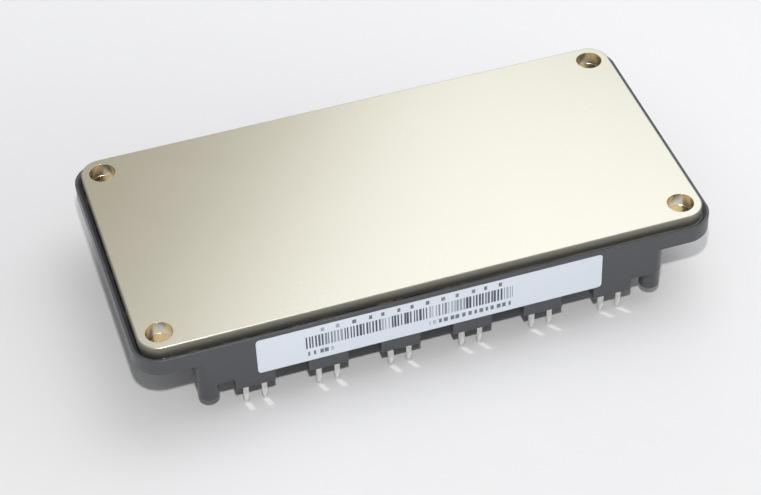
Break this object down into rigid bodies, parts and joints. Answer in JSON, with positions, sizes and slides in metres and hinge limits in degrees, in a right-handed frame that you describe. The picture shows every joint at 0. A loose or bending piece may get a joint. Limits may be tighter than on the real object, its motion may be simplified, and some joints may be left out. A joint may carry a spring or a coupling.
{
  "type": "igbt power module",
  "caption": "Flat rectangular power module with a metal base plate on top, corner mounting holes, and rows of solder pins and screw domes below.",
  "frame": {"origin": "centre of the footprint on the plane of the pin tips", "axes": "+X along the module, -Y towards the signal pins and the label, +Z out of the base plate's face"},
  "size_m": [0.122, 0.062, 0.0205],
  "materials": {
    "plate": "nickel plated base plate, satin",
    "case": "moulded dark grey plastic, fine matt",
    "adhesive": "cured dark adhesive, glossy",
    "label": "white label stock",
    "gel": "clear silicone gel",
    "bush": "turned brass",
    "pin": "tin plated copper",
    "solder": "soft solder, dull",
    "copper": "bare copper track",
    "ceramic": "white alumina",
    "silicon": "silicon with metal face",
    "wire": "drawn aluminium wire"
  },
  "bodies": {
    "root": {"base_plate": "plate", "case_frame": "case", "lid": "case", "adhesive_bead": "adhesive", "label": "label", "silicone_gel": "gel", "mounting_bush_1": "bush", "mounting_bush_2": "bush", "mounting_bush_3": "bush", "mounting_bush_4": "bush", "gate_pin_1": "pin", "gate_pin_2": "pin", "gate_pin_3": "pin", "gate_pin_4": "pin", "gate_pin_5": "pin", "gate_pin_6": "pin", "emitter_pin_1": "pin", "emitter_pin_2": "pin", "emitter_pin_3": "pin", "emitter_pin_4": "pin", "emitter_pin_5": "pin", "emitter_pin_6": "pin", "terminal_u": "pin", "terminal_n": "pin", "terminal_v": "pin", "terminal_p": "pin", "terminal_w": "pin", "substrate_solder_u": "solder", "substrate_solder_v": "solder", "substrate_solder_w": "solder", "back_copper_u": "copper", "back_copper_v": "copper", "back_copper_w": "copper", "ceramic_u": "ceramic", "ceramic_v": "ceramic", "ceramic_w": "ceramic", "top_copper_u": "copper", "top_copper_v": "copper", "top_copper_w": "copper", "chip_solder_u": "solder", "chip_solder_v": "solder", "chip_solder_w": "solder", "igbt_chip_1": "silicon", "igbt_chip_2": "silicon", "igbt_chip_3": "silicon", "igbt_chip_4": "silicon", "igbt_chip_5": "silicon", "igbt_chip_6": "silicon", "diode_chip_1": "silicon", "diode_chip_2": "silicon", "diode_chip_3": "silicon", "diode_chip_4": "silicon", "diode_chip_5": "silicon", "diode_chip_6": "silicon", "bond_wires_u": "wire", "bond_wires_v": "wire", "bond_wires_w": "wire"}
  },
  "joints": []
}
